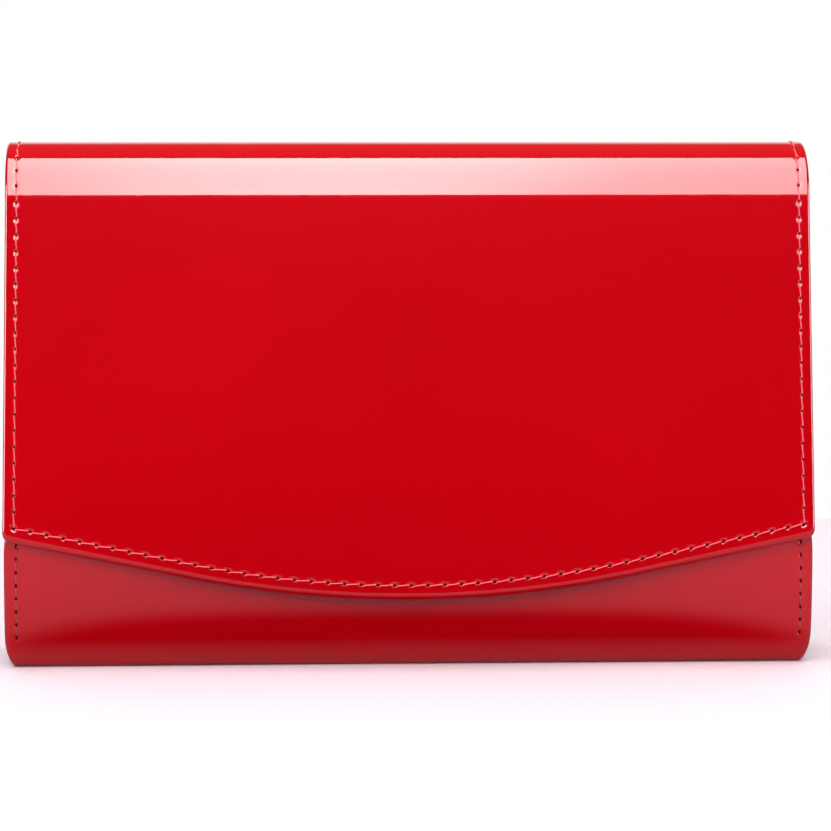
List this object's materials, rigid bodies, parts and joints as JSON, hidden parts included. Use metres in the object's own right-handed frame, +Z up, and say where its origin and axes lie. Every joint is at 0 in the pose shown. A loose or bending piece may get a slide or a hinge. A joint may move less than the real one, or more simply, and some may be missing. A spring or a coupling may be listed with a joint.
{
  "type": "clutch purse",
  "caption": "Envelope clutch purse in glossy patent leather: a full front flap with a shallow curved edge, folded side gussets, a hidden magnet closure and a lined inside with a zip pocket.",
  "frame": {"origin": "middle of the footprint, on the surface that the purse stands on", "axes": "+X along the width, the front faces -Y, +Z up to the fold of the flap"},
  "size_m": [0.238, 0.0526, 0.154],
  "materials": {
    "patent_leather": "mirror-gloss red patent coat over smooth leather",
    "edge_leather": "glossy turned and bound edges",
    "thread": "bonded red sewing thread",
    "lining": "dark red faille lining, matt",
    "stiffener": "bonded fibre board",
    "zip_tape": "woven zip tape",
    "zip_metal": "polished pale gold plating",
    "magnet": "nickel-plated disc",
    "magnet_pocket": "welded clear film pocket"
  },
  "bodies": {
    "shell": {"back_leather": "patent_leather", "body_stiffener": "stiffener", "body_lining": "lining", "base_board": "stiffener", "back_facing": "patent_leather", "gusset_left": "patent_leather", "gusset_right": "patent_leather", "gusset_lining_left": "lining", "gusset_lining_right": "lining", "zip_frame": "patent_leather", "zip_tape": "zip_tape", "zip_teeth": "zip_metal", "zip_stops": "zip_metal", "zip_pocket_bag": "lining", "back_stitching": "thread"},
    "front": {"front_leather": "patent_leather", "front_stiffener": "stiffener", "front_lining": "lining", "front_facing": "patent_leather", "front_top_binding": "edge_leather", "front_gusset_left": "patent_leather", "front_gusset_right": "patent_leather", "front_gusset_lining_left": "lining", "front_gusset_lining_right": "lining", "slip_pocket": "lining", "slip_pocket_binding": "edge_leather", "front_magnet": "magnet", "front_magnet_pocket": "magnet_pocket", "front_stitching": "thread"},
    "flap": {"flap_leather": "patent_leather", "flap_board": "stiffener", "flap_lining": "lining", "flap_turned_edge": "edge_leather", "flap_magnet": "magnet", "flap_magnet_pocket": "magnet_pocket", "flap_stitching": "thread"},
    "zip_slider": {"zip_slider": "zip_metal"},
    "zip_pull": {"zip_pull": "zip_metal"}
  },
  "joints": [
    {"name": "flap_hinge", "type": "hinge", "parent": "shell", "child": "flap", "pos_m": [0, 0.01662, 0.1388], "axis": [-1, 0, 0], "range_deg": [0, 170]},
    {"name": "front_open", "type": "hinge", "parent": "shell", "child": "front", "pos_m": [0, -0.02286, 0.03115], "axis": [1, 0, 0], "range_deg": [0, 8]},
    {"name": "zip_slide", "type": "slide", "parent": "shell", "child": "zip_slider", "axis": [1, 0, 0], "range_m": [0, 0.12]},
    {"name": "zip_pull_hinge", "type": "hinge", "parent": "zip_slider", "child": "zip_pull", "pos_m": [-0.0602, 0.01239, 0.10361], "axis": [0, 0.0872, -0.9962], "range_deg": [0, 150]}
  ],
  "couplings": [
    {"joint": "front_open", "follows": "flap_hinge", "ratio": 0.047}
  ]
}
